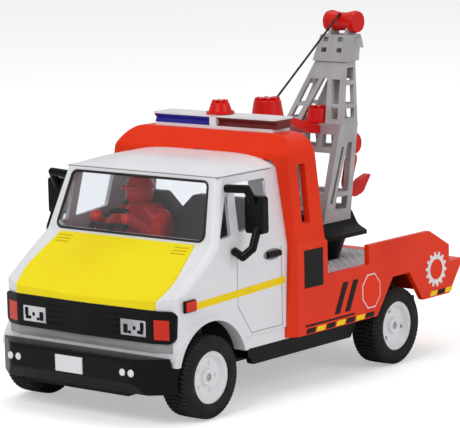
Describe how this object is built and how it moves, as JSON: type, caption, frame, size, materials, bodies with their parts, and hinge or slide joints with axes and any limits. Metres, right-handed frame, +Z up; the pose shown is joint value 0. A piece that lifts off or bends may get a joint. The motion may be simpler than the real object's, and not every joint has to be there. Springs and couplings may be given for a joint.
{
  "type": "toy tow truck",
  "caption": "Toy recovery truck with a forward-control cab, a roll-over hoop with light bar, and a turning lattice crane whose hook hangs from a line.",
  "frame": {"origin": "on the floor under the middle of the truck's overall length, on its centre plane", "axes": "+Z up, the nose points to -Y, +X is the truck's own left flank"},
  "size_m": [0.0862, 0.149, 0.1103],
  "materials": {
    "white_plastic": "moulded ABS, glossy",
    "orange_red_plastic": "moulded ABS, glossy",
    "red_plastic": "moulded plastic, glossy",
    "yellow_plastic": "painted panel, glossy",
    "black_plastic": "moulded plastic, satin",
    "grey_plastic": "moulded plastic, satin",
    "silver_plastic": "silver lacquered plastic",
    "deck_plastic": "chequer pattern",
    "clear_plastic": "clear polystyrene",
    "blue_lens": "tinted plastic",
    "red_lens": "tinted plastic",
    "orange_lens": "tinted plastic",
    "lamp_lens": "silvered lens",
    "tyre_rubber": "soft PVC, matt",
    "steel": "bright drawn rod",
    "line": "twisted cord"
  },
  "bodies": {
    "truck": {"cab_shell": "white_plastic", "cab_roof": "white_plastic", "bonnet": "yellow_plastic", "windscreen": "clear_plastic", "rear_window": "clear_plastic", "side_windows": "clear_plastic", "front_panel": "black_plastic", "headlamps": "lamp_lens", "indicators": "orange_lens", "side_markers": "orange_lens", "front_bumper": "black_plastic", "number_plate": "white_plastic", "chassis": "black_plastic", "rear_body": "orange_red_plastic", "bed_deck": "deck_plastic", "tail_lamps": "red_plastic", "light_bar_base": "silver_plastic", "light_bar_blue": "blue_lens", "light_bar_red": "red_lens", "light_bar_cover": "silver_plastic", "roof_beacon": "red_plastic", "mirror_left": "black_plastic", "mirror_right": "black_plastic", "door_handles": "black_plastic", "seats": "grey_plastic", "dashboard": "black_plastic", "steering_wheel": "black_plastic", "driver_figure": "red_plastic", "pedestal": "black_plastic"},
    "front_wheels": {"front_axle": "steel", "front_tyre_left": "tyre_rubber", "front_tyre_right": "tyre_rubber", "front_hub_left": "silver_plastic", "front_hub_right": "silver_plastic"},
    "rear_wheels": {"rear_axle": "steel", "rear_tyre_left": "tyre_rubber", "rear_tyre_right": "tyre_rubber", "rear_hub_left": "silver_plastic", "rear_hub_right": "silver_plastic"},
    "crane": {"saddle": "black_plastic", "crane_tower": "silver_plastic", "crane_boom": "silver_plastic", "boom_head": "silver_plastic", "head_roller": "red_plastic", "tower_beacon": "red_plastic", "winch_arm": "red_plastic", "winch_cover": "red_plastic", "hoist_line": "line"},
    "hook": {"hook_line": "line", "hook_block": "red_plastic", "hook": "red_plastic"}
  },
  "joints": [
    {"name": "front_axle_spin", "type": "hinge", "parent": "truck", "child": "front_wheels", "pos_m": [0, -0.0525, 0.0125], "axis": [1, 0, 0], "continuous": true},
    {"name": "rear_axle_spin", "type": "hinge", "parent": "truck", "child": "rear_wheels", "pos_m": [0, 0.0395, 0.0125], "axis": [1, 0, 0], "continuous": true},
    {"name": "crane_turn", "type": "hinge", "parent": "truck", "child": "crane", "pos_m": [0, 0.0455, 0.0377], "axis": [0, 0, 1], "continuous": true},
    {"name": "hook_swing", "type": "hinge", "parent": "crane", "child": "hook", "pos_m": [0, 0.06535, 0.1066], "axis": [1, 0, 0], "range_deg": [-6, 15]}
  ]
}
